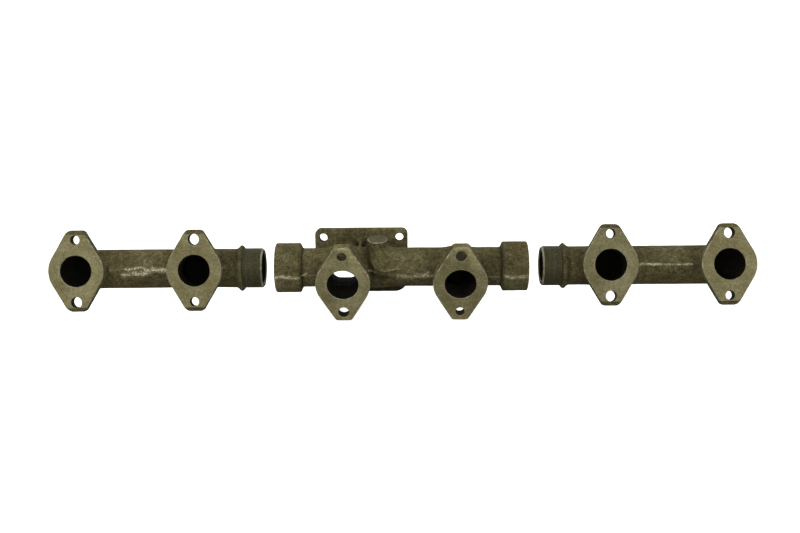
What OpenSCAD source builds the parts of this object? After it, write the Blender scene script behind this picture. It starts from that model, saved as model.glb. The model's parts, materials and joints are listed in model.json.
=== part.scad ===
// Three-piece cast-iron exhaust manifold for an in-line six-cylinder engine.
// A centre casting carries two cylinder ports, a twin-entry turbocharger flange
// and two sockets. Two end castings, each with two ports, have machined spigots
// that slide into the sockets and run through three split seal rings each, so
// the manifold can grow and twist as it heats up. The pieces are shown drawn
// apart and coaxial, before they are pushed together.
//
// Frame: origin midway between the two centre ports on the cylinder-head face,
// X along the engine, -Y towards the cylinder head, +Z up.

/* [Layout] */
// Distance between neighbouring cylinders
cylinder_pitch = 150; // [140:1:165]
// Distance from the cylinder-head face to the axis of the log pipe
pipe_offset = 51; // [48:0.5:60]
// How far the left section is drawn out from its place on the engine
left_pull = 38; // [32:0.5:60]
// How far the right section is drawn out from its place on the engine
right_pull = 40; // [32:0.5:60]
// Angle that the loose left section leans back about the pipe axis
left_lean = 23.5; // [0:0.5:40]
// Angle that the loose right section leans back about the pipe axis
right_lean = 27.5; // [0:0.5:40]

/* [Log pipe] */
// Outside diameter of the log pipe
pipe_od = 51; // [50:0.5:52]
// Bore of the log pipe
pipe_bore = 40; // [36:0.5:42]
// Outside diameter of the short branch behind each port flange
branch_od = 52; // [50:0.5:56]
// Bore of the short branch, just under that of the log
branch_bore = 39; // [36:0.5:39.5]

/* [Port flanges] */
// Overall height of a port flange
flange_height = 104; // [102:1:108]
// Width of a port flange across the port
flange_width = 70; // [66:1:74]
// Width of the flat at each tip of a port flange
tip_width = 20; // [16:1:24]
// Thickness of a port flange
flange_thick = 14; // [12:0.5:16]
// Diameter of the gas port
port_bore = 40.5; // [38:0.5:42]
// Distance between the two stud holes of a flange
stud_spacing = 79.3; // [78:0.1:82]
// Diameter of the close stud hole
stud_hole_small = 11.8; // [11:0.1:12.5]
// Diameter of the wide stud hole, which leaves room for growth
stud_hole_large = 14; // [13:0.1:14.5]
// Bevel across the tips of the end castings' flanges
tip_bevel = 5.5; // [3:0.5:6]

/* [Slip joints] */
// Outside diameter of a socket
socket_od = 65; // [64:0.5:68]
// Length of a socket
socket_length = 32; // [30:0.5:36]
// Bore of a socket
socket_bore = 52.3; // [52.2:0.05:52.5]
// Depth of a socket's bore
socket_depth = 30; // [28:0.5:31]
// Outside diameter of a spigot
spigot_od = 52; // [51.9:0.05:52.05]
// Length of the turned spigot beyond the stop bead
spigot_length = 29; // [27:0.5:30]
// Radius of the stop bead's crest
bead_radius = 30.3; // [29:0.1:31.5]
// Width of the stop bead at its foot
bead_width = 9.5; // [8:0.5:10]
// Distance from an inner port to the stop bead
bead_offset = 53; // [50:0.5:56]

/* [Seal rings] */
// Width of one seal ring
ring_width = 3; // [2.5:0.1:3.1]
// Inside diameter of a seal ring, closed round the spigot
ring_id = 52.1; // [52.08:0.02:52.2]
// Outside diameter of a seal ring
ring_od = 58.4; // [57:0.1:58.6]
// Gap between the ends of a split seal ring
ring_gap = 2; // [1:0.5:3]

/* [Turbocharger flange] */
// Centre of the turbocharger flange along the engine
turbo_x = -54; // [-58:0.5:-52]
// Distance from the pipe axis to the flange's inner face, along the flange's own axis
turbo_reach = 34; // [32:0.5:40]
// Tilt of the flange, top leaning away from the engine
turbo_tilt = 18; // [12:1:22]
// Width of the turbocharger flange
turbo_width = 125; // [122:1:130]
// Height of the turbocharger flange
turbo_height = 86; // [82:1:90]
// How far the flange plate and its holes sit above the middle of the gas windows
turbo_lift = 4; // [0:0.5:5]
// Thickness of the turbocharger flange
turbo_thick = 15; // [12:0.5:18]
// Radius of the turbocharger flange's upper corners
turbo_corner = 8; // [5:0.5:12]
// Radius of the turbocharger flange's lower corners
turbo_corner_low = 18; // [12:1:18]
// Spacing of the flange's four holes along the engine
turbo_hole_dx = 102.5; // [100:0.5:106]
// Spacing of the flange's four holes across the engine
turbo_hole_dz = 62; // [60:0.5:66]
// Diameter of the flange's four holes
turbo_hole = 11; // [10:0.5:12]
// Width of each gas window
window_w = 38; // [34:0.5:38]
// Height of each gas window
window_h = 43; // [38:0.5:46]
// Thickness of the wall between the two gas windows
divider = 8; // [7:0.5:10]

/* [Sensor boss] */
// Diameter of the blank sensor boss
boss_d = 26; // [20:1:28]
// Height of the boss's face above the pipe axis
boss_top = 40; // [34:0.5:44]

/* [Hidden] */
$fn = 96;

half = cylinder_pitch / 2;
pipe_r = pipe_od / 2;
bore_r = pipe_bore / 2;
branch_r = branch_od / 2;
port_r = port_bore / 2;
flange_r = flange_width / 2;
tip_h = flange_height / 2;
tip_w = tip_width / 2;
// point, just inside the round middle, where the straight side of a flange leaves it
tan_a = atan2(tip_h, tip_w) - acos(flange_r / sqrt(tip_h * tip_h + tip_w * tip_w));
tan_x = (flange_r - 0.05) * cos(tan_a);
tan_z = (flange_r - 0.05) * sin(tan_a);
// sockets: the mouths lie this far from the middle of the engine
socket_face = cylinder_pitch + 14.5;
socket_cone = 4.5;
ring_grooves = [6.5, 12, 17.5];
groove_width = ring_width + 0.2;
groove_r = ring_od / 2 + 0.3;
ring_turns = [90, 210, 330];
// end castings: middle of each one's two ports
left_x = -2 * cylinder_pitch - left_pull;
right_x = 2 * cylinder_pitch + right_pull;
window_x = (window_w + divider) / 2;
elbow_r = pipe_offset - flange_thick;
// planes where the straight pipes of the centre casting meet its ducts
left_cut = turbo_x - window_x - window_w / 2 - 8;
right_cut = turbo_x + window_x + window_w / 2 + 8;

// ---- shared shapes ----

// plain flange outline: a round middle with two straight-sided tips
module flange_plate(t) {
    union() {
        drill_y(flange_width, 0, t);
        rotate([90, 0, 0]) mirror([0, 0, 1]) linear_extrude(height = t)
            polygon([[tip_w, tip_h], [tan_x, tan_z], [tan_x, -tan_z], [tip_w, -tip_h],
                     [-tip_w, -tip_h], [-tan_x, -tan_z], [-tan_x, tan_z], [-tip_w, tip_h]]);
    }
}

// drilling along Y
module drill_y(d, y0, y1) {
    translate([0, y0, 0]) rotate([-90, 0, 0]) cylinder(d = d, h = y1 - y0);
}

// bar along X
module bar_x(r, x0, x1) {
    translate([x0, 0, 0]) rotate([0, 90, 0]) cylinder(r = r, h = x1 - x0);
}

// port flange with its port and two stud holes, face on y = 0
module port_flange(top_d, bottom_d, bevel) {
    difference() {
        flange_plate(flange_thick);
        drill_y(port_bore, -1, flange_thick + 1);
        translate([0, 0, stud_spacing / 2]) drill_y(top_d, -1, flange_thick + 1);
        translate([0, 0, -stud_spacing / 2]) drill_y(bottom_d, -1, flange_thick + 1);
        if (bevel > 0)
            for (s = [-1, 1])
                translate([0, 0, s * tip_h]) rotate([45, 0, 0])
                    cube([tip_width + 30, bevel * sqrt(2), bevel * sqrt(2)], center = true);
    }
}

// rounded window or block in the flange plane
module rounded_rect(w, h, r) {
    union() {
        square([w - 2 * r, h], center = true);
        square([w, h - 2 * r], center = true);
        for (sx = [-1, 1], sy = [-1, 1])
            translate([sx * (w / 2 - r), sy * (h / 2 - r)]) circle(r = r);
    }
}

// outline of the turbocharger flange, its upper edge towards -Y
module turbo_outline(w, h, r, rl) {
    union() {
        square([w - 2 * rl, h], center = true);
        translate([0, -h / 4]) square([w - 2 * r, h / 2], center = true);
        translate([-w / 2, r - h / 2]) square([w, h - r - rl]);
        for (s = [-1, 1]) {
            translate([s * (w / 2 - r), r - h / 2]) circle(r = r);
            translate([s * (w / 2 - rl), h / 2 - rl]) circle(r = rl);
        }
    }
}

// puts children on the turbocharger flange's axis: Z runs out from the pipe axis
module on_turbo_axis() {
    translate([turbo_x, pipe_offset, 0]) rotate([-90 - turbo_tilt, 0, 0]) children();
}

// places an end section's child on the pipe axis, leaning back
module place_left() {
    translate([left_x, pipe_offset, 0]) rotate([-left_lean, 0, 0])
        translate([0, -pipe_offset, 0]) children();
}
module place_right() {
    translate([right_x, pipe_offset, 0]) rotate([-right_lean, 0, 0])
        translate([0, -pipe_offset, 0]) children();
}

// ---- end castings, drawn with the slip joint towards +X ----

// quarter bend from the outer port into the log
module bend(r) {
    translate([-half + elbow_r, flange_thick, 0]) intersection() {
        rotate_extrude() translate([elbow_r, 0]) circle(r = r);
        translate([-100, 0, -50]) cube([100, 100, 100]);
    }
}

module section_log_pipe() {
    difference() {
        union() {
            bend(pipe_r);
            // branch behind the inner port
            translate([half, 0, 0]) drill_y(branch_od, flange_thick, pipe_offset);
            // log
            translate([0, pipe_offset, 0]) bar_x(pipe_r, -half + elbow_r, half + bead_offset - bead_width / 2);
        }
        bend(bore_r);
        translate([half, 0, 0]) drill_y(branch_bore, flange_thick - 1, pipe_offset);
        translate([0, pipe_offset, 0]) bar_x(bore_r, -half + elbow_r, half + bead_offset);
    }
}

// turned spigot with its stop bead, drawn about the pipe axis
module section_spigot() {
    x0 = half + bead_offset - bead_width / 2;
    x1 = half + bead_offset + spigot_length;
    xb = half + bead_offset;
    r = spigot_od / 2;
    translate([0, pipe_offset, 0]) rotate([0, 90, 0]) rotate_extrude() polygon([
        [bore_r, x0], [pipe_r, x0], [bead_radius - 1.2, xb - 1.6], [bead_radius - 0.3, xb - 0.9],
        [bead_radius, xb], [bead_radius - 0.3, xb + 0.9], [bead_radius - 1.2, xb + 1.6],
        [r, xb + bead_width / 2], [r, x1 - 2], [r - 1.6, x1], [bore_r + 1.5, x1], [bore_r, x1 - 1.5]]);
}

// ---- centre casting ----

module socket(side) {
    translate([side * socket_face, pipe_offset, 0]) rotate([0, side * -90, 0]) rotate_extrude()
        polygon(concat(
            [[socket_bore / 2 + 1.5, 0], [socket_od / 2 - 1, 0], [socket_od / 2, 1],
             [socket_od / 2, socket_length], [bore_r, socket_length], [bore_r, socket_depth],
             [socket_bore / 2, socket_depth]],
            [for (i = [2, 1, 0], k = [0:3]) [
                k == 0 || k == 3 ? socket_bore / 2 : groove_r,
                ring_grooves[i] + (k < 2 ? groove_width / 2 : -groove_width / 2)]],
            [[socket_bore / 2, 1.5]]));
}

// outside of one gas duct from the log to the turbocharger flange
module duct_outer(x) {
    translate([x, 0, 3]) linear_extrude(height = turbo_reach - 3)
        rounded_rect(window_w + 12, window_h + 11, 18);
}
module duct_inner(x) {
    translate([x, 0, -5]) linear_extrude(height = turbo_reach + 6)
        rounded_rect(window_w, window_h, 13);
}

module collector() {
    cone0 = socket_face - socket_length;
    difference() {
        union() {
            translate([0, pipe_offset, 0]) {
                bar_x(pipe_r, -cone0, cone0);
                for (s = [-1, 1])
                    translate([s * cone0, 0, 0]) rotate([0, s * -90, 0])
                        cylinder(r1 = socket_od / 2, r2 = pipe_r, h = socket_cone);
            }
            for (s = [-1, 1]) translate([s * half, 0, 0]) drill_y(branch_od, flange_thick, pipe_offset);
            on_turbo_axis() { duct_outer(-window_x); duct_outer(window_x); }
            translate([turbo_x + window_x, pipe_offset + 2, 0]) cylinder(d = boss_d, h = boss_top);
        }
        // left gas way: socket and port 3 to the left window
        translate([0, pipe_offset, 0]) bar_x(bore_r, -cone0 - 1, turbo_x - divider / 2 - 1.5);
        // right gas way: socket and port 4 to the right window
        translate([0, pipe_offset, 0]) bar_x(bore_r, turbo_x + divider / 2 + 1.5, cone0 + 1);
        for (s = [-1, 1]) translate([s * half, 0, 0]) drill_y(branch_bore, flange_thick - 1, pipe_offset + 2);
        on_turbo_axis() { duct_inner(-window_x); duct_inner(window_x); }
    }
}

// the part of the collector between two planes across the engine
module collector_part(x0, x1) {
    intersection() {
        collector();
        translate([x0, -10, -60]) cube([x1 - x0, 160, 140]);
    }
}

module turbo_plate() {
    on_turbo_axis() translate([0, 0, turbo_reach]) difference() {
        translate([0, -turbo_lift, 0])
            linear_extrude(height = turbo_thick)
                turbo_outline(turbo_width, turbo_height, turbo_corner, turbo_corner_low);
        for (s = [-1, 1]) translate([s * window_x, 0, -1])
            linear_extrude(height = turbo_thick + 2) rounded_rect(window_w, window_h, 13);
        for (sx = [-1, 1], sy = [-1, 1])
            translate([sx * turbo_hole_dx / 2, sy * turbo_hole_dz / 2 - turbo_lift, -1])
                cylinder(d = turbo_hole, h = turbo_thick + 2);
    }
}

// split ring number i, in its groove on the left (side -1) or right (side 1)
module seal_ring(side, i) {
    x = side * (socket_face - ring_grooves[i]);
    difference() {
        translate([x, pipe_offset, 0]) rotate([0, 90, 0]) rotate_extrude()
            translate([ring_id / 2, -ring_width / 2])
                square([(ring_od - ring_id) / 2, ring_width]);
        translate([x, pipe_offset, 0]) rotate([ring_turns[i], 0, 0])
            translate([0, 0, ring_od / 2]) cube([ring_width + 1, ring_gap, 12], center = true);
    }
}

// ---- nodes ----

iron = [0.36, 0.33, 0.24];
faced = [0.50, 0.48, 0.37];
turned = [0.38, 0.38, 0.32];

module left_centre_pipe() color(iron) collector_part(-socket_face, left_cut);
module left_duct() color(iron) collector_part(left_cut, turbo_x);
module right_duct() color(iron) collector_part(turbo_x, right_cut);
module right_centre_pipe() color(iron) collector_part(right_cut, socket_face);
module port_flange_3() color(faced) translate([-half, 0, 0]) port_flange(stud_hole_small, stud_hole_large, 0);
module port_flange_4() color(faced) translate([half, 0, 0]) port_flange(stud_hole_large, stud_hole_small, 0);
module turbo_flange() color(faced) turbo_plate();
module left_socket() color(iron) socket(-1);
module right_socket() color(iron) socket(1);
module port_flange_1() color(faced) place_left() translate([-half, 0, 0]) port_flange(stud_hole_small, stud_hole_large, tip_bevel);
module port_flange_2() color(faced) place_left() translate([half, 0, 0]) port_flange(stud_hole_large, stud_hole_small, tip_bevel);
module left_log_pipe() color(iron) place_left() section_log_pipe();
module left_spigot() color(turned) place_left() section_spigot();
module port_flange_5() color(faced) place_right() translate([-half, 0, 0]) port_flange(stud_hole_small, stud_hole_large, tip_bevel);
module port_flange_6() color(faced) place_right() translate([half, 0, 0]) port_flange(stud_hole_large, stud_hole_small, tip_bevel);
module right_log_pipe() color(iron) place_right() mirror([1, 0, 0]) section_log_pipe();
module right_spigot() color(turned) place_right() mirror([1, 0, 0]) section_spigot();
module left_outer_seal_ring() color("dimgray") seal_ring(-1, 0);
module left_middle_seal_ring() color("dimgray") seal_ring(-1, 1);
module left_inner_seal_ring() color("dimgray") seal_ring(-1, 2);
module right_outer_seal_ring() color("dimgray") seal_ring(1, 0);
module right_middle_seal_ring() color("dimgray") seal_ring(1, 1);
module right_inner_seal_ring() color("dimgray") seal_ring(1, 2);

left_centre_pipe();
left_duct();
right_duct();
right_centre_pipe();
port_flange_3();
port_flange_4();
turbo_flange();
left_socket();
right_socket();
port_flange_1();
port_flange_2();
left_log_pipe();
left_spigot();
port_flange_5();
port_flange_6();
right_log_pipe();
right_spigot();
left_outer_seal_ring();
left_middle_seal_ring();
left_inner_seal_ring();
right_outer_seal_ring();
right_middle_seal_ring();
right_inner_seal_ring();
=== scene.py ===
import json
import math

import bmesh
import bpy
import numpy as np
from mathutils import Matrix, Vector


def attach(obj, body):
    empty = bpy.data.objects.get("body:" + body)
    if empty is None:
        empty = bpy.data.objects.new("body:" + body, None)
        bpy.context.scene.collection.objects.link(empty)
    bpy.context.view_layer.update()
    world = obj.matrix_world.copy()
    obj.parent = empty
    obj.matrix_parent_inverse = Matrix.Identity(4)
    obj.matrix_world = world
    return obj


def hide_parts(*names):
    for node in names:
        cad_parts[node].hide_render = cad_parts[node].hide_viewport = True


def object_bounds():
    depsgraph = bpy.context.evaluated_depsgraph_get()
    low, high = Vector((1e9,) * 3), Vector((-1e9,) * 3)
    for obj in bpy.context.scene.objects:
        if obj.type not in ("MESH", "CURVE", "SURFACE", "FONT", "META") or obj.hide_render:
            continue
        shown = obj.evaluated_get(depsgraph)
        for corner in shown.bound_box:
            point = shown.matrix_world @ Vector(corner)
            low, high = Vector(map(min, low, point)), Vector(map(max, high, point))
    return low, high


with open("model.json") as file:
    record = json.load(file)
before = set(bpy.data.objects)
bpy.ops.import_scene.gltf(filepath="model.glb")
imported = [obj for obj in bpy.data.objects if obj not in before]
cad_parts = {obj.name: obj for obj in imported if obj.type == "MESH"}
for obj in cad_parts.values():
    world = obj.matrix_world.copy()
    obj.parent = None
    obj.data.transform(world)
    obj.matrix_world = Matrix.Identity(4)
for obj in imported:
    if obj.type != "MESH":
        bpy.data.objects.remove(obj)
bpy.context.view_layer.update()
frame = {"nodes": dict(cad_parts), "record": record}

# ---------------------------------------------------------------- dimensions, mm
AX = 51.0            # head face to pipe axis
PITCH = 150.0
HALF = PITCH / 2
PIPE_R, BORE_R = 25.5, 20.0
BRANCH_R, PORT_R = 26.0, 20.25
FR, TIP_H, TIP_W, FT = 35.0, 52.0, 10.0, 14.0
STUD = 79.3 / 2
SMALL, LARGE = 5.9, 7.0
BEVEL = 5.5
MOUTH, SOCK_R, SOCK_L, SOCK_BORE, SOCK_D = 164.5, 32.5, 32.0, 26.15, 30.0
GROOVES, GROOVE_W, GROOVE_R = (6.5, 12.0, 17.5), 3.2, 29.5
SPIG_R, BEAD_X, BEAD_R, SPIG_END = 26.0, HALF + 53.0, 30.3, HALF + 82.0
TX, REACH, TT, TW, TH, TC, TCL, LIFT = -54.0, 34.0, 15.0, 125.0, 86.0, 8.0, 18.0, 4.0
TILT = math.radians(18.0)
TDX, TDZ, THOLE = 51.25, 31.0, 5.5
WIN_W, WIN_H, WIN_R, WIN_X = 38.0, 43.0, 13.0, 23.0
BOSS_X, BOSS_Y, BOSS_R, BOSS_Z = TX + WIN_X, AX + 2.0, 13.0, 40.0
LEFT_X, RIGHT_X = -338.0, 340.0
LEFT_LEAN, RIGHT_LEAN = math.radians(23.5), math.radians(27.5)
TAN_A = math.atan2(TIP_H, TIP_W) - math.acos(FR / math.hypot(TIP_H, TIP_W))
VOX = 1.4

# ---------------------------------------------------------------- noise and distance functions
_lat = np.random.default_rng(7).uniform(-1, 1, (32, 32, 32)).astype(np.float32)


def noise(X, Y, Z, wave, seed=0):
    """Smooth lattice noise in -1..1 with the given wavelength in mm."""
    o = (seed * 7.31, seed * 3.17, seed * 5.77)
    out = 0.0
    g = []
    for v, s in zip((X, Y, Z), o):
        t = np.asarray(v, np.float32) / wave + s
        i = np.floor(t).astype(np.int32)
        f = t - i
        g.append((i, f * f * (3 - 2 * f)))
    (ix, fx), (iy, fy), (iz, fz) = g
    for a in (0, 1):
        wx = fx if a else 1 - fx
        for b in (0, 1):
            wy = fy if b else 1 - fy
            for c in (0, 1):
                wz = fz if c else 1 - fz
                out = out + _lat[(ix + a) & 31, (iy + b) & 31, (iz + c) & 31] * (wx * wy * wz)
    return out


def rmin(a, b, r):
    return np.maximum(r, np.minimum(a, b)) - np.hypot(np.maximum(r - a, 0), np.maximum(r - b, 0))


def rmax(a, b, r):
    return -rmin(-a, -b, r)


def seg2(U, V, a, b):
    """Distance in a plane to the segment a-b."""
    du, dv = b[0] - a[0], b[1] - a[1]
    t = np.clip(((U - a[0]) * du + (V - a[1]) * dv) / (du * du + dv * dv), 0, 1)
    return np.hypot(U - a[0] - t * du, V - a[1] - t * dv)


def seg3(X, Y, Z, a, b):
    a, b = np.array(a, float), np.array(b, float)
    d = b - a
    t = np.clip(((X - a[0]) * d[0] + (Y - a[1]) * d[1] + (Z - a[2]) * d[2]) / (d @ d), 0, 1)
    return np.sqrt((X - a[0] - t * d[0]) ** 2 + (Y - a[1] - t * d[1]) ** 2 + (Z - a[2] - t * d[2]) ** 2)


def rbox2(U, V, w, h, r):
    qx, qy = np.abs(U) - w / 2 + r, np.abs(V) - h / 2 + r
    return np.hypot(np.maximum(qx, 0), np.maximum(qy, 0)) + np.minimum(np.maximum(qx, qy), 0) - r


def outline2(X, Z):
    """Port flange outline: round middle, straight sides, flat tips."""
    x, z = np.abs(X), np.abs(Z)
    ca, sa = math.cos(TAN_A), math.sin(TAN_A)
    side = np.where(z * ca - x * sa < 0, np.hypot(x, z) - FR, x * ca + z * sa - FR)
    return rmax(side, z - TIP_H, 3.0)


def plate(X, Y, Z, cx, bevel):
    d = outline2(X - cx, Z)
    d = rmax(d, np.abs(Y - (FT - 2) / 2) - (FT + 2) / 2, 1.6)
    if bevel:
        d = rmax(d, (np.abs(Z) - Y - (TIP_H - bevel)) / math.sqrt(2), 0.9)
    return d


def turbo_uvw(X, Y, Z):
    c, s = math.cos(TILT), math.sin(TILT)
    y = Y - AX
    return X - TX, y * s + Z * c, y * c - Z * s


# ---------------------------------------------------------------- the castings as distance fields
def path2(X, Z, pts):
    """Distance in the X-Z plane to a line through points."""
    d = None
    for a, b in zip(pts[:-1], pts[1:]):
        e = seg2(X, Z, a, b)
        d = e if d is None else np.minimum(d, e)
    return d


def end_centreline(X, Y):
    c = np.minimum(seg2(X, Y, (-HALF + 37, AX), (190, AX)), seg2(X, Y, (-HALF, 14), (-HALF, -30)))
    q = np.abs(np.hypot(X + HALF - 37, Y - 14) - 37)
    return np.where((X <= -HALF + 37) & (Y >= 14), np.minimum(c, q), c)


def end_inner(X, Y, Z):
    inner = np.hypot(end_centreline(X, Y), Z) - BORE_R
    inner = rmin(inner, np.hypot(seg2(X, Y, (HALF, -30), (HALF, AX)), Z) - PORT_R, 5.0)
    return inner + 0.18 * noise(X, Y, Z, 16, 5)


def end_casting(seed, marks):
    """Field of an end casting, its slip joint towards +X. marks are raised strokes on the side with the ports."""
    def field(X, Y, Z):
        C = end_centreline(X, Y)
        wave = 0.22 * noise(X, Y, Z, 26, seed + 1) + 0.10 * noise(X, Y, Z, 9, seed + 2)
        pipe = np.hypot(C, Z) - PIPE_R
        branch = np.hypot(seg2(X, Y, (HALF, -10), (HALF, AX)), Z) - BRANCH_R
        # branches stay behind the flange faces
        front = -1.9 - Y
        pipe = rmax(pipe, front, 0.1)
        branch = rmax(branch, front, 0.1)
        body = rmin(pipe, branch, 8.0)
        plates = np.minimum(plate(X, Y, Z, -HALF, BEVEL), plate(X, Y, Z, HALF, BEVEL))
        body = rmin(body, plates, 5.5)
        # stop bead and the blank that the spigot is turned from
        r = np.hypot(Y - AX, Z)
        dx = X - BEAD_X
        bead = 0.72 * (r - (BEAD_R - (np.sqrt((1.08 * dx) ** 2 + 1.5) - 1.2247)))
        bead = np.maximum(bead, np.abs(dx) - 7)
        body = rmin(body, bead, 1.8)
        blank = np.maximum(r - 26.9, np.abs(X - (BEAD_X + 17)) - 16.0)
        body = np.minimum(body, blank)
        # raised flash along the mould's parting plane
        m = np.clip(0.45 + 0.9 * noise(X, Y, Z, 14, seed + 3), 0.1, 1.0)
        body = body - 0.5 * m * np.exp(-((Z - 0.5 * noise(X, Y, Z, 30, seed + 4)) / 1.15) ** 2) * (Y > 13)
        for pts, w, amp in marks:
            body = body - amp * np.exp(-((path2(X, Z, pts) / w) ** 2)) * ((Y < AX) & (Y > 15.5))
        return np.maximum(rmax(body - wave, -end_inner(X, Y, Z), 0.6), X - (SPIG_END + 1.0))
    return field


def centre_inner(X, Y, Z):
    r = np.hypot(Y - AX, Z) + 0.0 * X
    U, V, W = turbo_uvw(X, Y, Z)
    left = np.maximum(r - BORE_R, np.maximum(X - (TX - 14), -X - 175))
    right = np.maximum(r - BORE_R, np.maximum((TX + 14) - X, X - 175))
    inner = None
    for s, bore in ((-1, left), (1, right)):
        win = rbox2(U - s * WIN_X, V, WIN_W, WIN_H, WIN_R)
        win = rmax(win, -W - 14, 14.0)
        win = np.maximum(win, W - 80)
        port = np.hypot(seg2(X, Y, (s * HALF, -30), (s * HALF, AX)), Z) - PORT_R
        d = rmin(rmin(bore, win, 5.0), port, 5.0)
        inner = d if inner is None else np.minimum(inner, d)
    return inner + 0.18 * noise(X, Y, Z, 16, 15)


def centre_casting(marks):
    def field(X, Y, Z):
        wave = 0.22 * noise(X, Y, Z, 26, 11) + 0.10 * noise(X, Y, Z, 9, 12)
        r = np.hypot(Y - AX, Z)
        ax = np.abs(X)
        pipe = np.maximum(r - PIPE_R, ax - 150)
        # sockets with a short cone down to the pipe
        s0 = MOUTH - SOCK_L
        cone = ((r - SOCK_R) + (s0 - ax) * 2.3) / math.hypot(1, 2.3)
        sock = rmax(rmax(r - SOCK_R, cone, 1.1), ax - (MOUTH + 0.8), 1.5)
        body = rmin(pipe, sock, 1.6)
        front = -1.9 - Y
        br = np.minimum(np.hypot(seg2(X, Y, (-HALF, -10), (-HALF, AX)), Z), np.hypot(seg2(X, Y, (HALF, -10), (HALF, AX)), Z)) - BRANCH_R
        body = rmin(body, rmax(br, front, 0.1), 8.0)
        U, V, W = turbo_uvw(X, Y, Z)
        # two gas ducts, with a valley between them and a thin rib standing in it
        ducts = None
        for s in (-1, 1):
            d = rbox2(U - s * WIN_X, V, WIN_W + 9.5, WIN_H + 10.5, 19.5)
            d = rmax(d, -W - 6, 16.0)
            d = np.maximum(d, W - (REACH + 2))
            ducts = d if ducts is None else rmin(ducts, d, 2.5)
        body = rmin(body, ducts, 9.0)
        rib = rmax(np.abs(U + 1.0) - 1.9, rmax(V - 27.5 - 0.35 * np.clip(W - 18, 0, 20), -W - 12, 10.0), 1.6)
        rib = np.maximum(rib, np.maximum(W - (REACH + 2), -V - 10))
        body = rmin(body, rib, 2.6)
        # sensor boss
        boss = rmax(np.hypot(X - BOSS_X, Y - BOSS_Y) - BOSS_R - 0.02 * (BOSS_Z - Z), np.abs(Z - 20) - 21, 0.5)
        body = rmin(body, boss, 7.0)
        # turbocharger flange
        edge = np.where(V > LIFT, rbox2(U, V - LIFT, TW, TH, TC), rbox2(U, V - LIFT, TW, TH, TCL))
        tp = rmax(edge, np.abs(W - (REACH + (TT + 1.5) / 2)) - (TT + 1.5) / 2, 1.8)
        body = rmin(body, tp, 7.0)
        plates = np.minimum(plate(X, Y, Z, -HALF, 0), plate(X, Y, Z, HALF, 0))
        body = rmin(body, plates, 5.5)
        # raised flash on the parting plane
        m = np.clip(0.45 + 0.9 * noise(X, Y, Z, 14, 13), 0.1, 1.0)
        keep = (Y > 13) & (W < REACH - 2) & (np.abs(X - (TX + 15)) > 17)
        body = body - 0.5 * m * np.exp(-((Z - 0.5 * noise(X, Y, Z, 30, 14)) / 1.15) ** 2) * keep
        for pts, w, amp in marks:
            body = body - amp * np.exp(-((path2(X, Z, pts) / w) ** 2)) * ((Y < AX) & (Y > 15.5))
        # crease where the two elbows meet in front of the divider, with rough metal below it
        front_side = np.clip((AX + 14 - Y) / 10, 0, 1) * np.clip((Y - 15.5) / 3, 0, 1)
        body = body + 3.4 * np.exp(-((path2(X, Z, VALLEY) / 3.9) ** 2)) * front_side
        body = body - 1.3 * np.exp(-((path2(X, Z, [(-31.5, 30), (-31, 12)]) / 5.5) ** 2)) * front_side
        patch = np.exp(-((path2(X, Z, [(-38, 1), (-24, -3)]) / 5.0) ** 2)) * front_side
        body = body + (1.1 + 0.9 * noise(X, Y, Z, 4.2, 17)) * patch
        return rmax(body - wave, -centre_inner(X, Y, Z), 0.6)
    return field


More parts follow.
